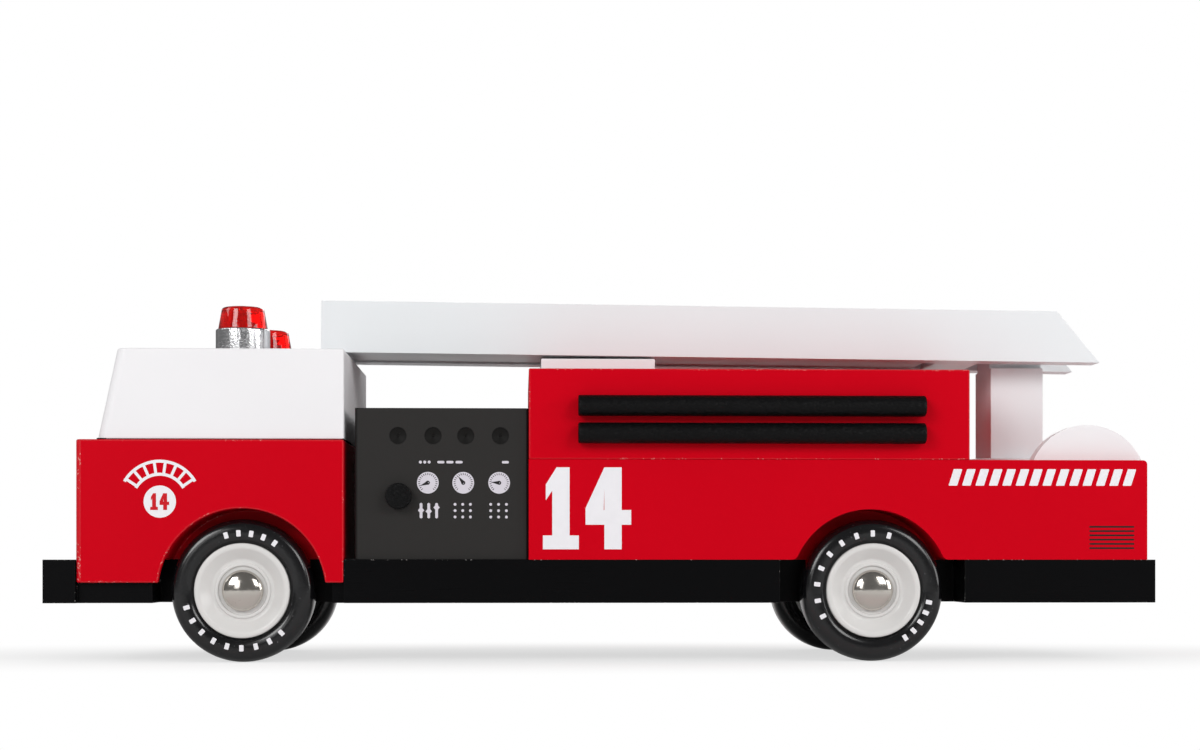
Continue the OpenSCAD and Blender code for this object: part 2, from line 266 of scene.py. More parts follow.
def finished(name, mesh, body, slot, *replaced):
    """Puts a made mesh on the truck: it rides on a body and stands for CAD nodes."""
    piece = bpy.data.objects.new(name, mesh)
    bpy.context.scene.collection.objects.link(piece)
    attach(piece, body)
    if replaced:
        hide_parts(*replaced)
    return piece


def plain_mesh(draft):
    """A temporary object's final shape as a mesh, with the object removed."""
    shown = draft.evaluated_get(bpy.context.evaluated_depsgraph_get())
    mesh = bpy.data.meshes.new_from_object(shown)
    bpy.data.objects.remove(draft)
    return mesh


def body_of_node(node):
    """The name of the body that holds a node."""
    for body, members in frame["record"]["behaviour"]["bodies"].items():
        if node in members:
            return body


def rounded_over(mesh, radius):
    """A copy of the mesh with its sharp edges rounded. The new faces take the second finish."""
    draft = bpy.data.objects.new("draft", mesh)
    bpy.context.scene.collection.objects.link(draft)
    bevel = draft.modifiers.new("eased_edges", "BEVEL")
    bevel.width = radius
    bevel.segments = 3
    bevel.limit_method = "ANGLE"
    bevel.angle_limit = math.radians(32.0)
    bevel.material = 1
    flatter = draft.modifiers.new("flat_faces_stay_flat", "WEIGHTED_NORMAL")
    flatter.weight = 100
    return plain_mesh(draft)


def eased(node, radius, slot, finish, edge_finish=None, rounder=None, rounder_radius=0.0):
    """A block with its sharp edges rounded over, in place of the plain one.

    rounder picks the edges that get the larger radius first: a test on an edge's two ends.
    """
    mesh = frame["nodes"][node].data.copy()
    mesh.materials.clear()
    mesh.materials.append(finish)
    mesh.materials.append(edge_finish or finish)
    solid = bmesh.new()
    solid.from_mesh(mesh)
    bmesh.ops.remove_doubles(solid, verts=solid.verts, dist=1e-6)
    bmesh.ops.dissolve_limit(
        solid, angle_limit=math.radians(0.5), verts=solid.verts, edges=solid.edges
    )
    if rounder:
        chosen = [e for e in solid.edges if rounder(*(v.co for v in e.verts))]
        bmesh.ops.bevel(
            solid,
            geom=chosen,
            offset=rounder_radius,
            segments=7,
            profile=0.5,
            affect="EDGES",
            material=1 if edge_finish else 0,
        )
    solid.to_mesh(mesh)
    solid.free()
    mesh.shade_smooth()
    return finished(node + "_eased", rounded_over(mesh, radius), body_of_node(node), slot, node)


black_paint = painted_wood("black_paint", BLACK, gloss=0.26, sheen=0.07)
black_edge = painted_wood("black_paint_edge", BLACK, gloss=0.34, sheen=0.12, chip_and_glint_colour=(0.5, 0.48, 0.46))
eased("chassis", 0.7 * MM, "black_paint", black_paint, black_edge)

# ---------------------------------------------------------------- underside screws
# Cross-head wood screws, sunk into the plank from below, hold the blocks on.
SCREW_ROWS = (-0.43, -0.25, -0.07, 0.12, 0.43)
SCREW_SPREAD = 14.0
SCREW_HEAD = 3.4


def as_mesh(outlines, thickness, finish):
    """A flat plate from closed outlines in millimetres, the inner ones left open, lying on z = 0."""
    drawing = bpy.data.curves.new("drawing", "CURVE")
    drawing.dimensions = "2D"
    drawing.fill_mode = "BOTH"
    drawing.extrude = thickness / 2.0
    for outline in outlines:
        spline = drawing.splines.new("POLY")
        spline.points.add(len(outline) - 1)
        for point, (x, y) in zip(spline.points, outline):
            point.co = (x, y, 0.0, 1.0)
        spline.use_cyclic_u = True
    draft = bpy.data.objects.new("draft", drawing)
    bpy.context.scene.collection.objects.link(draft)
    mesh = plain_mesh(draft)
    solid = bmesh.new()
    solid.from_mesh(mesh)
    bmesh.ops.remove_doubles(solid, verts=solid.verts, dist=1e-5)
    bmesh.ops.recalc_face_normals(solid, faces=solid.faces)
    bmesh.ops.translate(solid, verts=solid.verts, vec=(0.0, 0.0, thickness / 2.0))
    solid.to_mesh(mesh)
    solid.free()
    mesh.materials.clear()
    mesh.materials.append(finish)
    return mesh


def ring(radius, count=48):
    """A circle about the origin as a list of points."""
    turns = [2.0 * math.pi * i / count for i in range(count)]
    return [(radius * math.cos(t), radius * math.sin(t)) for t in turns]


def merged(meshes):
    """Several meshes joined into one, each keeping its finish."""
    whole = bmesh.new()
    finishes = []
    for mesh in meshes:
        for finish in mesh.materials:
            if finish not in finishes:
                finishes.append(finish)
        start = len(whole.faces)
        whole.from_mesh(mesh)
        whole.faces.ensure_lookup_table()
        for face in whole.faces[start:]:
            face.material_index = finishes.index(mesh.materials[face.material_index])
    joined = bpy.data.meshes.new("joined")
    whole.to_mesh(joined)
    whole.free()
    for finish in finishes:
        joined.materials.append(finish)
    return joined


def placed(mesh, place):
    """A copy of a mesh moved by a matrix."""
    moved = mesh.copy()
    moved.transform(place)
    return moved


def plain_steel():
    """Drawn steel rod and screws: bright, with fine lines and small dull patches."""
    material, wire, shader = principled("axle_steel", Metallic=1.0)
    place = wire.add("ShaderNodeTexCoord", output="Object")
    along = wire.add("ShaderNodeMapping", inputs={"Vector": place, "Scale": (900.0, 60.0, 900.0)})
    lines = speckle(wire, along, 1.0, 3.0)
    dull = speckle(wire, place, 300.0)
    coat = blended(wire, dull, (0.50, 0.49, 0.47), (0.64, 0.63, 0.61))
    join(wire, shader, Base_Color=coat, Roughness=dull * 0.15 + 0.24, Normal=bumped(wire, lines, 0.0001))
    return material


steel = plain_steel()
# Half the width and half the length of the cross cut in a screw's head
slot_w, slot_l = 0.4, 1.7
cross = [
    (slot_w, slot_w), (slot_w, slot_l), (-slot_w, slot_l), (-slot_w, slot_w),
    (-slot_l, slot_w), (-slot_l, -slot_w), (-slot_w, -slot_w), (-slot_w, -slot_l),
    (slot_w, -slot_l), (slot_w, -slot_w), (slot_l, -slot_w), (slot_l, slot_w),
]
head_plate = as_mesh([ring(SCREW_HEAD), cross], 0.5, steel)
# The cross cuts are closed below with black: painted shade in the recesses
recess_shade = as_mesh([ring(SCREW_HEAD - 0.3)], 0.2, black_paint)
recess_shade_floor = placed(recess_shade, Matrix.Translation((0.0, 0.0, -0.2)))
plank_low, plank_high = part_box("chassis")
screws = []
for share in SCREW_ROWS:
    for side in (-1.0, 1.0):
        spot = (share * (plank_high.x - plank_low.x), side * SCREW_SPREAD * MM, plank_low.z + 0.42 * MM)
        facing_down = Matrix.Translation(spot) @ Matrix.Rotation(math.pi, 4, "X") @ Matrix.Scale(MM, 4)
        turned_head = facing_down @ Matrix.Rotation(share * 9.0 + side, 4, "Z")
        screws += [placed(head_plate, turned_head), placed(recess_shade_floor, turned_head)]
finished("underside_screws", merged(screws), "truck", "axle_steel")

# ---------------------------------------------------------------- axles and wheels
# Steel rods carry four wheels. Each is a white moulded rim with a glossy black
# rubber tyre, kept on by a bright domed cap pressed over the rod's end.
LATHE_STEPS = 96


def rounded_outline(points):
    """An outline's points, with an arc at each corner that has a radius: (across, up, radius)."""
    outline = []
    for i, (x, y, radius) in enumerate(points):
        corner = Vector((x, y))
        before = Vector(points[i - 1][:2]) - corner
        after = Vector(points[(i + 1) % len(points)][:2]) - corner
        half = before.angle(after, math.pi) / 2.0
        if radius <= 0.0 or half > 1.5:
            outline.append((x, y))
            continue
        run = min(radius / math.tan(half), 0.49 * before.length, 0.49 * after.length)
        start = corner + before.normalized() * run
        end = corner + after.normalized() * run
        for k in range(7):
            share = k / 6.0
            outline.append(tuple(
                start * (1 - share) ** 2 + corner * 2 * share * (1 - share) + end * share ** 2
            ))
    return outline


def turned(outline, finish, closed=True, steps=LATHE_STEPS):
    """A lathe-turned solid about z from an outline of (radius, height) points in millimetres.

    An open outline starts and ends on the axis.
    """
    solid = bmesh.new()
    rings = []
    for step in range(steps):
        turn = 2.0 * math.pi * step / steps
        rings.append([
            solid.verts.new((r * math.cos(turn), r * math.sin(turn), h)) for r, h in outline
        ])
    last = len(outline) if closed else len(outline) - 1
    for step in range(steps):
        here, there = rings[step], rings[(step + 1) % steps]
        for i in range(last):
            j = (i + 1) % len(outline)
            solid.faces.new((here[i], there[i], there[j], here[j]))
    bmesh.ops.remove_doubles(solid, verts=solid.verts, dist=1e-5)
    bmesh.ops.dissolve_degenerate(solid, dist=1e-6, edges=solid.edges)
    bmesh.ops.recalc_face_normals(solid, faces=solid.faces)
    mesh = bpy.data.meshes.new("turned")
    solid.to_mesh(mesh)
    solid.free()
    mesh.materials.append(finish)
    mesh.shade_smooth()
    mesh.set_sharp_from_angle(angle=math.radians(40.0))
    return mesh


def side_frame(side, x, y, z):
    """Puts a drawing in millimetres on a side of the truck: its x to the right as that side is
    seen, its y up, its z outwards. y is how far the face stands from the centre line."""
    flip = 1.0 if side == "left" else -1.0
    turn = Matrix(((flip, 0.0, 0.0), (0.0, 0.0, -flip), (0.0, 1.0, 0.0))).to_4x4()
    return Matrix.Translation((x, -flip * y, z)) @ turn @ Matrix.Scale(MM, 4)


def mark_tree(name, extra):
    """A new Geometry Nodes tree whose marks are small rounded bars: its wire, its named inputs
    as wires, and the bar. extra names its other inputs."""
    tree = bpy.data.node_groups.new(name, "GeometryNodeTree")
    kinds = {"Length": "Float", "Height": "Float", "Slant": "Float", "Corner": "Float", "Thickness": "Float"}
    for socket, kind in {**kinds, **extra, "Finish": "Material"}.items():
        tree.interface.new_socket(socket, in_out="INPUT", socket_type=f"NodeSocket{kind}")
    tree.interface.new_socket("Marks", in_out="OUTPUT", socket_type="NodeSocketGeometry")
    wire = Wire(tree)
    given = {s: wire.add("NodeGroupInput", output=s) for s in (*kinds, *extra, "Finish")}
    outline = wire.add(
        "GeometryNodeCurvePrimitiveQuadrilateral",
        {"mode": "PARALLELOGRAM"},
        {"Width": given["Length"], "Height": given["Height"], "Offset": given["Slant"]},
    )
    softened = wire.add(
        "GeometryNodeFilletCurve",
        {"mode": "POLY"},
        {"Curve": outline, "Radius": given["Corner"], "Count": 4, "Limit Radius": True},
    )
    flat = wire.add("GeometryNodeFillCurve", {"mode": "NGONS"}, {"Curve": softened})
    raised = wire.add(
        "GeometryNodeExtrudeMesh", inputs={"Mesh": flat, "Offset Scale": given["Thickness"]}
    )
    back = wire.add("GeometryNodeFlipFaces", inputs={"Mesh": flat})
    both = wire.add("GeometryNodeJoinGeometry", inputs={"Geometry": [raised, back]})
    bar = wire.add("GeometryNodeMergeByDistance", inputs={"Geometry": both, "Distance": 1e-4})
    return wire, given, bar


def close_tree(wire, given, marks):
    """Realizes the instances, gives them their finish and ends the tree."""
    real = wire.add("GeometryNodeRealizeInstances", inputs={"Geometry": marks})
    dressed = wire.add(
        "GeometryNodeSetMaterial", inputs={"Geometry": real, "Material": given["Finish"]}
    )
    wire.add("NodeGroupOutput", inputs={"Marks": dressed})
    return wire.tree


def arc_marks_tree():
    """Bars round a centre: their middle radius, first angle, step and count are inputs."""
    extra = {"Count": "Int", "Radius": "Float", "First": "Float", "Step": "Float"}
    wire, given, bar = mark_tree("marks_on_an_arc", extra)
    order = wire.add("GeometryNodeInputIndex")
    angle = given["First"] + order * given["Step"]
    spot = wire.add(
        "ShaderNodeCombineXYZ",
        inputs={"X": angle.maths("COSINE") * given["Radius"], "Y": angle.maths("SINE") * given["Radius"]},
    )
    points = wire.add("GeometryNodeMeshLine", inputs={"Count": given["Count"]})
    spread = wire.add("GeometryNodeSetPosition", inputs={"Geometry": points, "Position": spot})
    euler = wire.add("ShaderNodeCombineXYZ", inputs={"Z": angle - math.pi / 2.0})
    turn = wire.add("FunctionNodeEulerToRotation", inputs={"Euler": euler})
    marks = wire.add(
        "GeometryNodeInstanceOnPoints", inputs={"Points": spread, "Instance": bar, "Rotation": turn}
    )
    return close_tree(wire, given, marks)


def grown(tree, **values):
    """The mesh that a Geometry Nodes tree makes from its named inputs."""
    draft = bpy.data.objects.new("draft", bpy.data.meshes.new("draft"))
    bpy.context.scene.collection.objects.link(draft)
    maker = draft.modifiers.new("maker", "NODES")
    maker.node_group = tree
    for socket in tree.interface.items_tree:
        if socket.in_out == "INPUT" and socket.name in values:
            maker[socket.identifier] = values[socket.name]
    return plain_mesh(draft)


def rubber():
    """Glossy black rubber with faint mould bloom and a few specks of dust."""
    material, wire, shader = principled("tyre_rubber", Specular_IOR_Level=0.5)
    place = wire.add("ShaderNodeTexCoord", output="Object")
    bloom = speckle(wire, place, 120.0, 3.0)
    dust = speckle(wire, place, 1900.0, 1.0) > 0.76
    coat = blended(wire, bloom, (0.0022, 0.0022, 0.0026), (0.006, 0.006, 0.007))
    coat = blended(wire, dust * 0.6, coat, (0.16, 0.16, 0.17))
    normal = bumped(wire, speckle(wire, place, 700.0), 0.0001)
    join(wire, shader, Base_Color=coat, Roughness=bloom * 0.10 + 0.13, Normal=normal)
    return material


def moulded_plastic(name, colour, gloss):
    """Moulded plastic: even colour, soft shine and faint flow marks."""
    material, wire, shader = principled(name, Specular_IOR_Level=0.4)
    place = wire.add("ShaderNodeTexCoord", output="Object")
    flow = speckle(wire, place, 70.0, 2.0)
    coat = blended(wire, flow, tuple(part * 0.95 for part in colour), colour)
    normal = bumped(wire, speckle(wire, place, 600.0), 0.0001)
    join(wire, shader, Base_Color=coat, Roughness=flow * 0.08 + gloss, Normal=normal)
    return material


def bright_plate(name, colour, gloss, pits):
    """Bright plating, slightly pitted and hazed."""
    material, wire, shader = principled(name, Metallic=1.0)
    place = wire.add("ShaderNodeTexCoord", output="Object")
    haze = speckle(wire, place, 260.0, 3.0)
    marks = speckle(wire, place, 2400.0, 2.0)
    coat = blended(wire, marks > pits, colour, tuple(part * 0.35 for part in colour))
    normal = bumped(wire, speckle(wire, place, 500.0), 0.0002)
    join(wire, shader, Base_Color=coat, Roughness=haze * 0.08 + gloss, Normal=normal)
    return material


def ink(name, colour):
    """Screen-printed ink: nearly even, a little thin in places."""
    material, wire, shader = principled(name, Specular_IOR_Level=0.25)
    place = wire.add("ShaderNodeTexCoord", output="Object")
    thin = speckle(wire, place, 450.0, 3.0)
    coat = blended(wire, thin, tuple(part * 0.94 for part in colour), colour)
    join(wire, shader, Base_Color=coat, Roughness=thin * 0.1 + 0.4)
    return material


# How thick printed ink is, and how far it starts below the surface, in millimetres
INK_T = 0.06
INK_SINK = 0.02
tyre_rubber = rubber()
rim_plastic = moulded_plastic("rim_white", (0.70, 0.69, 0.675), 0.2)
cap_plate = bright_plate("cap_plate", (0.60, 0.565, 0.52), 0.09, 0.73)
white_ink = ink("white_ink", (0.84, 0.83, 0.86))
arc_marks = arc_marks_tree()

for node in ("axle_front", "axle_rear"):
    low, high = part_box(node)
    half, radius = (high.y - low.y) / 2.0 / MM, (high.z - low.z) / 2.0 / MM
    rod_outline = rounded_outline([(0, -half, 0), (radius, -half, 0.5), (radius, half, 0.5), (0, half, 0)])
    rod = turned(rod_outline, steel, closed=False, steps=48)
    centre = (low + high) / 2.0
    lying = Matrix.Translation(centre) @ Matrix.Rotation(math.pi / 2.0, 4, "X") @ Matrix.Scale(MM, 4)
    finished(node + "_rod", placed(rod, lying), "truck", "axle_steel", node)


def bulged(value, power):
    """A sine or cosine pushed outwards, which squares an ellipse up."""
    return math.copysign(abs(value) ** power, value)


def tyre_outline(inner_r, outer_r, width):
    """A fat rounded section: flat-sided where the marks are printed, round at the shoulders."""
    middle, half_r, half_w = (inner_r + outer_r) / 2.0, (outer_r - inner_r) / 2.0, width / 2.0
    turns = [2.0 * math.pi * i / 72 for i in range(72)]
    return [
        (middle + half_r * bulged(math.sin(t), 0.72), half_w + half_w * bulged(math.cos(t), 0.55))
        for t in turns
    ]


# Printed marks round each sidewall: the first mark's angle, the step and the count
TYRE_MARKS = {
    "front": ((106.0, -12.6, 5), (197.0, 14.5, 9)),
    "rear": ((-12.0, -11.0, 5), (207.0, -16.6, 9)),
}
MARK_RADIUS = 17.2
for end in ("front", "rear"):
    for side in ("left", "right"):
        wheel = f"wheel_{end}_{side}"
        low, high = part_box(f"tyre_{end}_{side}")
        centre = (low + high) / 2.0
        inner_y = min(abs(low.y), abs(high.y))
        place = side_frame(side, centre.x, inner_y, centre.z)
        tyre_r, tyre_w = (high.z - low.z) / 2.0 / MM, (high.y - low.y) / MM
        rim_low, rim_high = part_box(f"rim_{end}_{side}")
        rim_r = (rim_high.z - rim_low.z) / 2.0 / MM
        rim_w = (max(abs(rim_low.y), abs(rim_high.y)) - inner_y) / MM
        boss = (min(abs(rim_low.y), abs(rim_high.y)) - inner_y) / MM
        tyre = turned(tyre_outline(rim_r - 0.6, tyre_r, tyre_w), tyre_rubber)
        finished(f"tyre_{end}_{side}_moulded", placed(tyre, place), wheel, "rubber", f"tyre_{end}_{side}")

        dish = rim_w - 3.0
        rim_outline = rounded_outline([
            (2.55, boss, 0.0), (5.0, boss, 0.5), (5.0, 0.0, 0.5), (rim_r, 0.0, 0.6),
            (rim_r, rim_w, 0.9), (rim_r - 1.5, rim_w, 1.5), (9.4, dish + 0.2, 2.2), (8.5, dish + 0.2, 0.3),
            (8.2, dish + 0.7, 0.3), (7.5, dish + 0.7, 0.3), (7.2, dish, 0.2), (2.55, dish, 0.0),
        ])
        rim = turned(rim_outline, rim_plastic)
        finished(f"rim_{end}_{side}_moulded", placed(rim, place), wheel, "rim_white", f"rim_{end}_{side}")

        printed_marks = []
        for first, step, count in TYRE_MARKS[end]:
            printed_marks.append(grown(
                arc_marks, Length=1.3, Height=1.9, Corner=0.2, Thickness=0.3, Finish=white_ink,
                Count=count, Radius=MARK_RADIUS, First=math.radians(first), Step=math.radians(step),
            ))
        sidewall = place @ Matrix.Translation((0.0, 0.0, tyre_w - 0.26))
        marks = placed(merged(printed_marks), sidewall)
        finished(f"tyre_{end}_{side}_marks", marks, wheel, "white_paint")

        cap_low, cap_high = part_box(f"cap_{end}_{side}")
        cap_r = (cap_high.z - cap_low.z) / 2.0 / MM
        base = (min(abs(cap_low.y), abs(cap_high.y)) - inner_y) / MM
        top = (max(abs(cap_low.y), abs(cap_high.y)) - inner_y) / MM
        crown = [
            (cap_r * math.cos(t), base + 0.5 + (top - base - 0.5) * math.sin(t))
            for t in (math.pi / 2.0 * i / 20 for i in range(21))
        ]
        cap_outline = [(0.0, base), (cap_r - 0.3, base), (cap_r, base + 0.2), *crown]
        cap = turned(cap_outline, cap_plate, closed=False)
        finished(f"cap_{end}_{side}_domed", placed(cap, place), "truck", "cap_chrome", f"cap_{end}_{side}")

# ---------------------------------------------------------------- cab
# Two glued blocks: a red one whose skirts come down over the plank, and a
# white one with a sloping front. Sanded soft at the corners and sprayed.
RED = (0.58, 0.0, 0.0083)
WHITE = (0.855, 0.845, 0.86)
red_paint = painted_wood("red_paint", RED, sheen=0.04)
red_edge = painted_wood("red_paint_edge", RED, gloss=0.3, sheen=0.3, chip_and_glint_colour=(0.80, 0.30, 0.27))
white_paint = painted_wood("white_paint", WHITE, gloss=0.3, sheen=0.25)
cab_low, cab_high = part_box("cab_body")
roof_low, roof_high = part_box("cab_roof")


def on_cab_nose(a, b):
    """Whether an edge is one of the two upright ones at the cab's front."""
    return max(a.x, b.x) < cab_low.x + 0.1 * MM and abs(a.z - b.z) > 20.0 * MM


def on_screen_edge(a, b):
    """Whether an edge is one of the two that frame the sloping front."""
    return abs(a.z - b.z) > 20.0 * MM and max(a.x, b.x) < roof_low.x + 10.0 * MM


eased("cab_body", 0.5 * MM, "red_paint", red_paint, red_edge, on_cab_nose, 1.6 * MM)
eased("cab_roof", 0.6 * MM, "white_paint", white_paint, None, on_screen_edge, 3.0 * MM)

# A dark strip under the white block, all round: painted shade in the groove where the two blocks meet
JOINT_INSET, JOINT_T = 0.1, 0.42
joint_l = (roof_high.x - roof_low.x) / MM / 2.0 - JOINT_INSET
joint_w = roof_high.y / MM - JOINT_INSET
joint_painted_shade = painted_wood("joint_shadow", (0.010, 0.004, 0.004), gloss=0.6, sheen=0.1)
joint_outline = [(-joint_l, -joint_w), (joint_l, -joint_w), (joint_l, joint_w), (-joint_l, joint_w)]
joint = as_mesh([joint_outline], JOINT_T, joint_painted_shade)
joint_spot = Matrix.Translation(((roof_low.x + roof_high.x) / 2.0, 0.0, roof_low.z - 0.02 * MM))
finished("cab_joint_painted_shade", placed(joint, joint_spot @ Matrix.Scale(MM, 4)), "truck", "black_paint")

# The numbered disc and the curved ladder above it, screen printed on both sides
DISC_R = 4.8
red_ink = ink("red_ink", RED)


def digit_one(x, width, height, stroke):
    """A plain block figure one with a foot, from its left edge."""
    mid, chamfer = x + width / 2.0, stroke * 0.55
    foot = stroke * 0.8
    return [[
        (x, 0.0), (x + width, 0.0), (x + width, foot), (mid + stroke / 2.0, foot),
        (mid + stroke / 2.0, height), (mid - stroke * 0.25, height),
        (x + chamfer * 0.3, height - stroke), (x + chamfer * 0.3, height - stroke * 1.9),
        (mid - stroke / 2.0, height - stroke * 1.35), (mid - stroke / 2.0, foot), (x, foot),
    ]]


def digit_four(x, width, height, stroke):
    """A plain block figure four with an open corner, from its left edge."""
    bar = height * 0.30
    post = x + width - stroke * 0.55
    return [[
        (post - stroke, 0.0), (post, 0.0), (post, bar), (x + width, bar),
        (x + width, bar + stroke * 0.85), (post, bar + stroke * 0.85), (post, height),
        (post - stroke, height), (x, bar + stroke * 0.95), (x, bar), (post - stroke, bar),
    ], [
        (post - stroke, bar + stroke * 0.85), (post - stroke, height - stroke * 1.25),
        (x + stroke * 1.05, bar + stroke * 0.85),
    ]]


def number(width, height, stroke, gap):
    """The truck's number, centred on the origin."""
    one_w = (width - gap) * 0.44
    four_w = width - gap - one_w
    shapes = digit_one(0.0, one_w, height, stroke) + digit_four(one_w + gap, four_w, height, stroke)
    return [[(x - width / 2.0, y - height / 2.0) for x, y in shape] for shape in shapes]


def arc_band(inner_r, outer_r, spread):
    """A band round the origin, open below, from minus to plus the spread in degrees off the top."""
    turns = [math.radians(90.0 + spread - 2.0 * spread * i / 32) for i in range(33)]
    outside = [(outer_r * math.cos(t), outer_r * math.sin(t)) for t in turns]
    inside = [(inner_r * math.cos(t), inner_r * math.sin(t)) for t in reversed(turns)]
    return outside + inside


disc_x, disc_z = cab_low.x + 25.0 * MM, cab_low.z + 24.2 * MM
for side in ("left", "right"):
    place = side_frame(side, disc_x, cab_high.y, disc_z)
    disc = as_mesh([ring(DISC_R)], INK_T, white_ink)
    inner_rail = as_mesh([arc_band(7.7, 8.6, 60.0)], INK_T, white_ink)
    outer_rail = as_mesh([arc_band(11.6, 12.5, 60.0)], INK_T, white_ink)
    rungs = grown(
        arc_marks, Length=0.85, Height=3.4, Corner=0.02, Thickness=0.05, Finish=white_ink,
        Count=8, Radius=10.1, First=math.radians(90.0 + 56.0), Step=math.radians(-16.0),
    )
    badge = merged([disc, inner_rail, outer_rail, rungs])
    sunk = place @ Matrix.Translation((0, 0, -INK_SINK))
    finished(f"cab_badge_{side}", placed(badge, sunk), "truck", "white_paint")
    figures = as_mesh(number(5.6, 5.0, 1.15, 0.5), 0.05, red_ink)
    raised = place @ Matrix.Translation((0, 0, 0.02))
    finished(f"cab_badge_number_{side}", placed(figures, raised), "truck", "red_paint")

# ---------------------------------------------------------------- cab front
# A glossy black screen let on to the slope, a black grille with pale lines,
# and two white turned buttons as headlights, all glued on.
gloss_black = moulded_plastic("screen_black", (0.012, 0.012, 0.014), 0.08)
lamp_white = moulded_plastic("lamp_white", (0.82, 0.82, 0.78), 0.1)


def on_screen_corner(a, b):
    """Whether an edge is one of the four short ones at the screen's corners."""
    return (a - b).length < 2.0 * MM and abs(a.y - b.y) < 0.01 * MM


eased("windscreen", 0.2 * MM, "screen_black", gloss_black, None, on_screen_corner, 5.0 * MM)
eased("grille", 0.35 * MM, "screen_black", gloss_black)


def row_marks_tree():
    """Bars in rows and columns about the origin."""
    extra = {"Columns": "Int", "Rows": "Int", "Across": "Float", "Up": "Float"}
    wire, given, bar = mark_tree("marks_in_rows", extra)
    columns_start = (given["Columns"] - 1.0) * given["Across"] * -0.5
    rows_start = (given["Rows"] - 1.0) * given["Up"] * -0.5
    columns = wire.add(
        "GeometryNodeMeshLine",
        inputs={
            "Count": given["Columns"],
            "Start Location": wire.add("ShaderNodeCombineXYZ", inputs={"X": columns_start}),
            "Offset": wire.add("ShaderNodeCombineXYZ", inputs={"X": given["Across"]}),
        },
    )
    rows = wire.add(
        "GeometryNodeMeshLine",
        inputs={
            "Count": given["Rows"],
            "Start Location": wire.add("ShaderNodeCombineXYZ", inputs={"Y": rows_start}),
            "Offset": wire.add("ShaderNodeCombineXYZ", inputs={"Y": given["Up"]}),
        },
    )
    crossed = wire.add("GeometryNodeInstanceOnPoints", inputs={"Points": columns, "Instance": rows})
    spots = wire.add("GeometryNodeRealizeInstances", inputs={"Geometry": crossed})
    marks = wire.add("GeometryNodeInstanceOnPoints", inputs={"Points": spots, "Instance": bar})
    return close_tree(wire, given, marks)


row_marks = row_marks_tree()


def rows_of(columns, rows, across, up, length, height, corner, finish, slant=0.0, thickness=INK_T):
    """Printed bars in rows and columns, in millimetres."""
    return grown(
        row_marks, Columns=columns, Rows=rows, Across=across, Up=up, Length=length, Height=height,
        Corner=corner, Finish=finish, Slant=slant, Thickness=thickness,
    )


def facing_front(x, y, z):
    """Puts a drawing on a face that looks forward: its x towards the truck's left, its z outwards."""
    turn = Matrix(((0.0, 0.0, -1.0), (-1.0, 0.0, 0.0), (0.0, 1.0, 0.0))).to_4x4()
    return Matrix.Translation((x, y, z)) @ turn @ Matrix.Scale(MM, 4)


grille_low, grille_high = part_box("grille")
grille_mid = (grille_low + grille_high) / 2.0
slats = rows_of(1, 5, 1.0, 3.0, 36.0, 1.0, 0.3, white_ink, thickness=0.2)
slat_spot = facing_front(grille_low.x, 0.0, grille_mid.z)
finished("grille_slats", placed(slats, slat_spot), "truck", "white_paint")
for side in ("left", "right"):
    low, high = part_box(f"headlight_{side}")
    middle = (low + high) / 2.0
    lamp_r, lamp_t = (high.z - low.z) / 2.0 / MM, (high.x - low.x) / MM
    button_outline = rounded_outline([
        (0, 0, 0), (lamp_r, 0, 0.1), (lamp_r, lamp_t * 0.6, 1.2),
        (lamp_r * 0.55, lamp_t, 3.0), (0, lamp_t, 0),
    ])
    button = turned(button_outline, lamp_white, closed=False)
    spot = facing_front(high.x, middle.y, middle.z)
    node = f"headlight_{side}"
    finished(node + "_turned", placed(button, spot), "truck", "lamp_white", node)

# ---------------------------------------------------------------- beacons
# Two warning beacons on the roof: a bright plated collar and a hollow clear
# red lens, slightly tapered, over a small red core.
def clear_red(name, depth):
    """Clear red plastic that lets the surround through, with faint ripples."""
    material, wire, shader = principled(
        name, Transmission_Weight=depth, IOR=1.49, Specular_IOR_Level=0.5
    )
    place = wire.add("ShaderNodeTexCoord", output="Object")
    ripple = wire.add("ShaderNodeMapping", inputs={"Vector": place, "Scale": (500.0, 500.0, 60.0)})
    wave = speckle(wire, ripple, 1.0, 2.0)
    coat = blended(wire, wave, (0.72, 0.006, 0.004), (0.82, 0.012, 0.008))
    normal = bumped(wire, wave, 0.0001, 0.1)
    join(wire, shader, Base_Color=coat, Roughness=wave * 0.03 + 0.02, Normal=normal)
    return material


def crinkled_plate():
    """Bright plating, a little crinkled, with upright streaks in its relief and painted reflections in its
    colour.
    """
    material, wire, shader = principled("beacon_plate", Metallic=1.0)
    place = wire.add("ShaderNodeTexCoord", output="Object")
    upright = wire.add("ShaderNodeMapping", inputs={"Vector": place, "Scale": (420.0, 420.0, 30.0)})
    streak_relief_and_reflection = speckle(wire, upright, 1.0, 2.0)
    grit = speckle(wire, place, 1500.0, 2.0)
    # The colour runs from dark to bright along the streaks: painted reflections on the plated collar
    coat = blended(wire, streak_relief_and_reflection * 1.6 - 0.3, (0.48, 0.48, 0.50), (0.97, 0.97, 0.98))
    normal = bumped(wire, streak_relief_and_reflection + grit * 0.35, 0.0006, 0.5)
    join(wire, shader, Base_Color=coat, Roughness=grit * 0.12 + 0.14, Normal=normal)
    return material


beacon_plate = crinkled_plate()
lens_plastic = clear_red("lens_plastic", 0.85)
core_plastic = clear_red("core_plastic", 0.15)
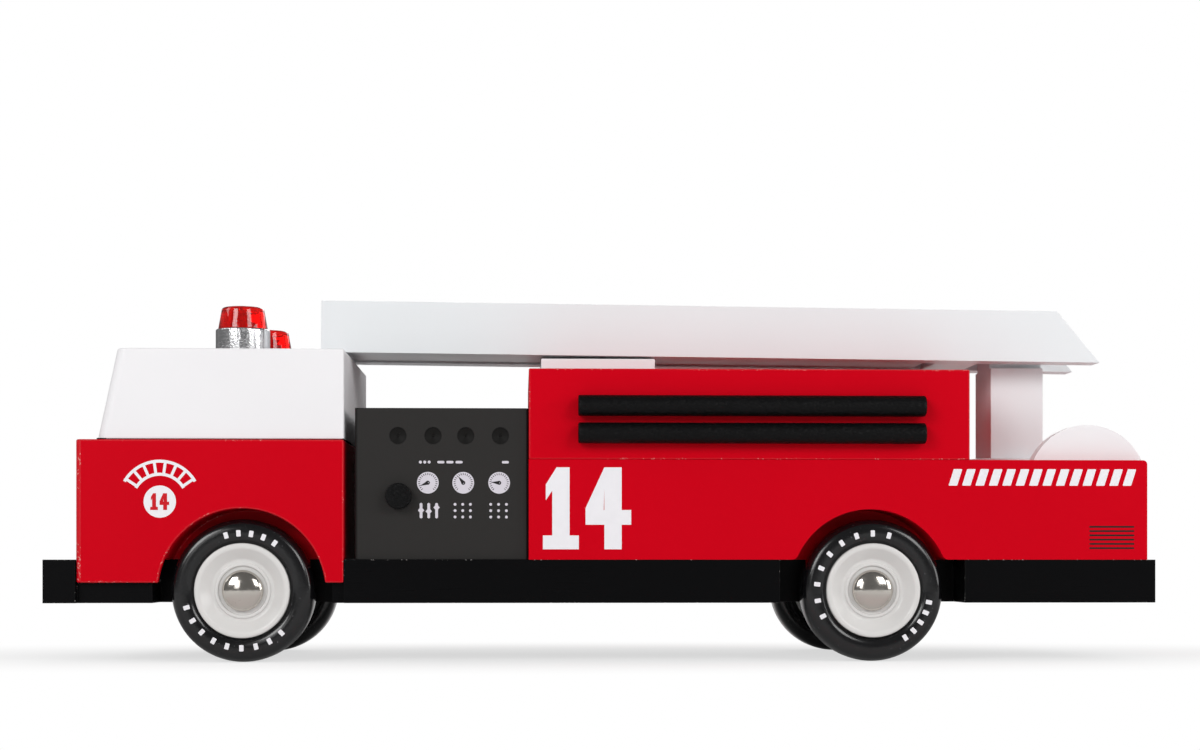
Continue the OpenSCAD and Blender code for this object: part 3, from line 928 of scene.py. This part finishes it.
# The lens's top radius and the thickness of its wall, in millimetres
top_r, wall = 6.3, 1.3
for side in ("left", "right"):
    base_low, base_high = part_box(f"beacon_base_{side}")
    lens_low, lens_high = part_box(f"beacon_lens_{side}")
    middle = (base_low + base_high) / 2.0
    base_r, base_h = (base_high.x - base_low.x) / 2.0 / MM, (base_high.z - base_low.z) / MM
    lens_r, lens_h = (lens_high.x - lens_low.x) / 2.0 / MM, (lens_high.z - lens_low.z) / MM
    place = Matrix.Translation((middle.x, middle.y, base_low.z)) @ Matrix.Scale(MM, 4)
    collar = turned(
        rounded_outline([(0, 0, 0), (base_r, 0, 0.3), (base_r, base_h, 0.5), (0, base_h, 0)]),
        beacon_plate, closed=False,
    )
    node = f"beacon_base_{side}"
    finished(node + "_collar", placed(collar, place), "truck", "beacon_chrome", node)
    shell = turned(
        rounded_outline([
            (0, lens_h, 0), (top_r, lens_h, 1.1), (lens_r, 0, 0.2), (lens_r - 1.2, 0, 0.1),
            (top_r - wall, lens_h - wall, 0.8), (0, lens_h - wall, 0),
        ]),
        lens_plastic, closed=False,
    )
    core = turned(
        rounded_outline([
            (0, 0, 0), (4.2, 0, 0.1), (4.2, 2.2, 0.6), (2.4, 2.6, 0.3), (2.2, 4.8, 1.4), (0, 5.0, 0),
        ]),
        core_plastic, closed=False,
    )
    lens_place = place @ Matrix.Translation((0, 0, base_h + 0.02))
    node = f"beacon_lens_{side}"
    finished(node + "_shell", placed(shell, lens_place), "truck", "lens_red", node)
    finished(node + "_core", placed(core, lens_place), "truck", "lens_red")

# ---------------------------------------------------------------- pump panel
# A dark grey block between cab and body. Four shallow holes are drilled in
# each side, the dials and switches are printed, and the knob is a dowel end.
GREY = (0.027, 0.0255, 0.0245)
panel_paint = painted_wood("panel_paint", GREY, gloss=0.5, sheen=0.1)
# The rounded edges take a darker grey than the faces: painted shade along the edges
panel_edge_shade = painted_wood("panel_edge_painted_shade", (0.010, 0.009, 0.009), gloss=0.5, sheen=0.15)
# The hole bottoms are painted darker than the panel: painted shade in the drilled holes
bowl_painted_shade = painted_wood("bowl_painted_shade", (0.007, 0.0065, 0.006), gloss=0.5, sheen=0.12)
panel_low, panel_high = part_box("pump_panel")


def on_panel_corner(a, b):
    """Whether an edge is one of the block's four long upright ones."""
    return abs(a.z - b.z) > 20.0 * MM


eased("pump_panel", 0.25 * MM, "panel_paint", panel_paint, panel_edge_shade, on_panel_corner, 0.8 * MM)

# Where the printed groups stand, from the panel's front lower corner in millimetres
DIALS = ((21.84, 202.0), (32.45, 128.0), (43.22, 176.0))
DIAL_Z = 23.07
DIMPLES = (12.9, 23.4, 33.2, 43.6)
DIMPLE_Z = 37.2
dial_ink = ink("dial_ink", (0.66, 0.63, 0.69))
dark_ink = ink("dark_ink", (0.012, 0.011, 0.012))


def dial(pointer):
    """A round dial: pale disc, dark ticks and a tapered needle with an open hub."""
    turn = math.radians(pointer)
    ahead, aside = Vector((math.cos(turn), math.sin(turn))), Vector((-math.sin(turn), math.cos(turn)))
    shape = ((2.5, 0.0), (0.4, 0.5), (-0.1, 0.55), (-0.1, -0.55), (0.4, -0.5))
    needle = [tuple(ahead * forth + aside * off) for forth, off in shape]
    face = as_mesh([ring(3.25, 64)], INK_T, dial_ink)
    lift = Matrix.Translation((0.0, 0.0, 0.03))
    ticks = grown(
        arc_marks, Length=0.2, Height=0.6, Corner=0.01, Thickness=0.05, Finish=dark_ink,
        Count=21, Radius=2.62, First=math.radians(228.0), Step=math.radians(-13.8),
    )
    return [
        face, placed(ticks, lift), placed(as_mesh([needle], 0.05, dark_ink), lift),
        placed(as_mesh([ring(0.62, 24), ring(0.26, 16)], INK_T, dark_ink), lift),
    ]


def slider(x, knob_z):
    """A switch that slides in a slot: a tall bar with a pointed knob across it."""
    bar = [
        (x - 0.42, -2.1), (x, -2.35), (x + 0.42, -2.1), (x + 0.42, 2.1), (x, 2.35), (x - 0.42, 2.1),
    ]
    knob = [
        (x - 0.95, knob_z), (x - 0.45, knob_z - 0.6), (x + 0.45, knob_z - 0.6),
        (x + 0.95, knob_z), (x + 0.45, knob_z + 0.6), (x - 0.45, knob_z + 0.6),
    ]
    return [as_mesh([bar], 0.05, dial_ink), as_mesh([knob], INK_T, dial_ink)]


def dimple_bowl():
    """The bottom of a drilled hole: a shallow cone with a pip, ringed by the drill."""
    radius, floor_z, steps = 2.5, -1.25, 14
    slope = [
        (radius * (1 - i / steps), -0.35 - 0.75 * i / steps + 0.06 * (i % 2)) for i in range(steps - 1)
    ]
    outline = [(0, floor_z), (radius, floor_z), *slope, (0.3, -0.9), (0, -0.75)]
    return turned(outline, bowl_painted_shade, closed=False, steps=40)


def on_panel(side, x, z, sink):
    """A place on a side of the panel, in millimetres from its front lower corner and inwards."""
    return side_frame(side, panel_low.x + x * MM, panel_high.y - sink * MM, panel_low.z + z * MM)


for side in ("left", "right"):
    ink_pieces = []
    for x, pointer in DIALS:
        spot = on_panel(side, x, DIAL_Z, INK_SINK)
        ink_pieces += [placed(part, spot) for part in dial(pointer)]
    for x, z, group in (
        (20.93, 29.26, [rows_of(3, 1, 1.31, 1.0, 0.9, 0.9, 0.45, dial_ink)]),
        (28.47, 29.26, [rows_of(3, 1, 2.73, 1.0, 2.15, 0.75, 0.37, dial_ink)]),
        (45.1, 29.26, [rows_of(1, 1, 1.0, 1.0, 2.1, 0.75, 0.37, dial_ink)]),
        (22.12, 14.7, slider(-2.3, 0.1) + slider(0.0, -0.2) + slider(2.35, 0.95)),
        (32.3, 14.7, [rows_of(3, 3, 2.3, 1.9, 0.85, 0.85, 0.42, dial_ink)]),
        (43.05, 14.7, [rows_of(3, 3, 2.35, 1.9, 0.85, 0.85, 0.42, dial_ink)]),
    ):
        spot = on_panel(side, x, z, INK_SINK)
        ink_pieces += [placed(part, spot) for part in group]
    finished(f"pump_panel_print_{side}", merged(ink_pieces), "truck", "white_paint")
    bowls = [placed(dimple_bowl(), on_panel(side, x, DIMPLE_Z, 0.0)) for x in DIMPLES]
    finished(f"pump_panel_dimples_{side}", merged(bowls), "truck", "panel_paint")


def crinkle():
    """Black crinkle coating: matt, with fine leathery wrinkles that catch the light."""
    material, wire, shader = principled("hose_black", Specular_IOR_Level=0.1)
    place = wire.add("ShaderNodeTexCoord", output="Object")
    along = wire.add("ShaderNodeMapping", inputs={"Vector": place, "Scale": (0.6, 1.0, 1.0)})
    folds = speckle(wire, along, 1500.0, 3.0)
    wide = speckle(wire, place, 300.0)
    coat = blended(wire, folds, (0.0015, 0.0015, 0.0015), (0.006, 0.006, 0.0065))
    normal = bumped(wire, folds + wide * 0.6, 0.0006, 0.6)
    join(wire, shader, Base_Color=coat, Roughness=folds * 0.25 + 0.22, Normal=normal)
    return material


hose_coat = crinkle()
for side in ("left", "right"):
    low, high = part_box(f"pump_knob_{side}")
    middle = (low + high) / 2.0
    knob_r, knob_t = (high.z - low.z) / 2.0 / MM, (high.y - low.y) / MM
    dowel_outline = rounded_outline([(0, 0, 0), (knob_r, 0, 0.1), (knob_r, knob_t, 0.5), (0, knob_t, 0)])
    dowel = turned(dowel_outline, hose_coat, closed=False)
    spot = side_frame(side, middle.x, min(abs(low.y), abs(high.y)), middle.z)
    finished(f"pump_knob_{side}_turned", placed(dowel, spot), "truck", "hose_black", f"pump_knob_{side}")

# ---------------------------------------------------------------- rear body
# Two red blocks, one on the other, with the wheel arches cut in the lower one.
# The white block on top keeps the ladder off the paint.
body_low, body_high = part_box("body_lower")


def on_tail_corner(a, b):
    """Whether an edge is the one across the top of the tail."""
    return min(a.x, b.x) > body_high.x - 0.1 * MM and min(a.z, b.z) > body_high.z - 0.1 * MM


eased("body_lower", 0.45 * MM, "red_paint", red_paint, red_edge, on_tail_corner, 1.3 * MM)
eased("body_upper", 0.45 * MM, "red_paint", red_paint, red_edge)
eased("ladder_rest", 0.4 * MM, "white_paint", white_paint)

# The number, the slanted bars at the tail and the vent lines, screen printed on both sides
black_ink = ink("black_ink", (0.010, 0.008, 0.009))
printed_y = body_high.y - INK_SINK * MM
for side in ("left", "right"):
    figures = as_mesh(number(26.5, 24.6, 5.2, 2.0), INK_T, white_ink)
    spot = side_frame(side, body_low.x + 17.5 * MM, printed_y, body_low.z + 15.4 * MM)
    finished(f"body_number_{side}", placed(figures, spot), "truck", "white_paint")
    slant = 1.6 if side == "left" else -1.6
    bars = rows_of(14, 1, 4.08, 1.0, 2.6, 5.0, 0.2, white_ink, slant=slant)
    spot = side_frame(side, body_high.x - 32.0 * MM, printed_y, body_low.z + 24.85 * MM)
    finished(f"tail_bars_{side}", placed(bars, spot), "truck", "white_paint")
    vents = rows_of(1, 6, 1.0, 1.29, 13.7, 0.52, 0.2, black_ink)
    spot = side_frame(side, body_high.x - 10.85 * MM, printed_y, body_low.z + 6.7 * MM)
    finished(f"vent_lines_{side}", placed(vents, spot), "truck", "black_paint")

# ---------------------------------------------------------------- side hoses
# Two black rods along each side stand for the hoses. They are wood dowels with
# a crinkle coating, glued on along a narrow flat.
RINGS, SPOKES = 180, 48
WRINKLE = 0.05 * MM


def hose_rod(node):
    """A rod along the truck with a flat on its inner side and a wrinkled surface."""
    low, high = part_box(node)
    radius = (high.z - low.z) / 2.0
    middle_z = (high.z + low.z) / 2.0
    outward = 1.0 if high.y > 0.0 else -1.0
    inner = min(abs(low.y), abs(high.y))
    middle_y = max(abs(low.y), abs(high.y)) - radius
    edge, shoulder = 0.35 * MM, 0.12 * MM
    at_end, at_shoulder = 1.0 - edge / radius, 1.0 - 0.5 * edge / radius
    run = high.x - low.x - 2.0 * edge
    stations = [(low.x, at_end), (low.x + shoulder, at_shoulder)]
    stations += [(low.x + edge + run * i / RINGS, 1.0) for i in range(RINGS + 1)]
    stations += [(high.x - shoulder, at_shoulder), (high.x, at_end)]
    solid = bmesh.new()
    loops = []
    for x, share in stations:
        loop = []
        for k in range(SPOKES):
            turn = 2.0 * math.pi * k / SPOKES
            spot = Vector((x, math.cos(turn), math.sin(turn)))
            folds = Vector((x * 700.0, spot.y * 3.2 + outward * 9.0, spot.z * 3.2))
            size = radius * share - WRINKLE + noise.noise(folds) * WRINKLE
            y = max(middle_y + size * spot.y, inner)
            loop.append(solid.verts.new((x, outward * y, middle_z + size * spot.z)))
        loops.append(loop)
    for here, there in zip(loops, loops[1:]):
        for k in range(SPOKES):
            solid.faces.new((here[k], here[(k + 1) % SPOKES], there[(k + 1) % SPOKES], there[k]))
    solid.faces.new(loops[0])
    solid.faces.new(loops[-1])
    bmesh.ops.recalc_face_normals(solid, faces=solid.faces)
    mesh = bpy.data.meshes.new(node)
    solid.to_mesh(mesh)
    solid.free()
    mesh.materials.append(hose_coat)
    mesh.shade_smooth()
    mesh.set_sharp_from_angle(angle=math.radians(50.0))
    return mesh


for level in ("upper", "lower"):
    for side in ("left", "right"):
        node = f"hose_{level}_{side}"
        finished(node + "_rod", hose_rod(node), "truck", "hose_black", node)

# ---------------------------------------------------------------- deck guards
# A half-round board on each side of the rear deck, its edge rounded over.
for side in ("left", "right"):
    node = f"deck_guard_{side}"
    low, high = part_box(node)
    half_chord, rise = (high.x - low.x) / 2.0, high.z - low.z
    radius = (half_chord ** 2 + rise ** 2) / (2.0 * rise)
    spread = math.asin(half_chord / radius)
    turns = [spread - 2.0 * spread * i / 64 for i in range(65)]
    outline = [
        (radius * math.sin(t) / MM, (radius * math.cos(t) - radius + rise) / MM) for t in turns
    ]
    board = as_mesh([outline], (high.y - low.y) / MM, white_paint)
    near_y = min(abs(low.y), abs(high.y))
    board.transform(side_frame(side, (low.x + high.x) / 2.0, near_y, low.z))
    board.shade_smooth()
    board.materials.append(white_paint)
    finished(node + "_rounded", rounded_over(board, 0.7 * MM), "truck", "white_paint", node)

# ---------------------------------------------------------------- mast and ladder
# A post on a turned foot, and a ladder of two rails with a sliding section
# between them, all white. The rails pivot on a steel pin in the post.
foot_low, foot_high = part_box("turntable")
foot_r, foot_t, peg_r = (foot_high.x - foot_low.x) / 2.0 / MM, 2.0, 3.0
peg_z = foot_t - (foot_high.z - foot_low.z) / MM
foot = turned(
    rounded_outline([
        (0, peg_z, 0), (peg_r, peg_z, 0.4), (peg_r, 0, 0), (foot_r, 0, 0.3), (foot_r, foot_t, 0.7),
        (0, foot_t, 0),
    ]),
    white_paint, closed=False,
)
foot_middle = (foot_low + foot_high) / 2.0
foot_spot = Matrix.Translation((foot_middle.x, foot_middle.y, foot_high.z - foot_t * MM))
foot_place = foot_spot @ Matrix.Scale(MM, 4)
finished("turntable_turned", placed(foot, foot_place), "turret", "white_paint", "turntable")
# A cooler white for the post and rails, which offsets the red light from the deck
cool_white = painted_wood("cool_white_paint", (0.805, 0.83, 0.845), gloss=0.3, sheen=0.2)
eased("mast", 1.1 * MM, "white_paint", cool_white)
eased("pivot_pin", 0.4 * MM, "axle_steel", steel)
for node in ("rail_left", "rail_right"):
    eased(node, 0.7 * MM, "white_paint", cool_white)
eased("ladder_block", 0.5 * MM, "white_paint", white_paint)
eased("ladder_fly", 0.45 * MM, "white_paint", white_paint)
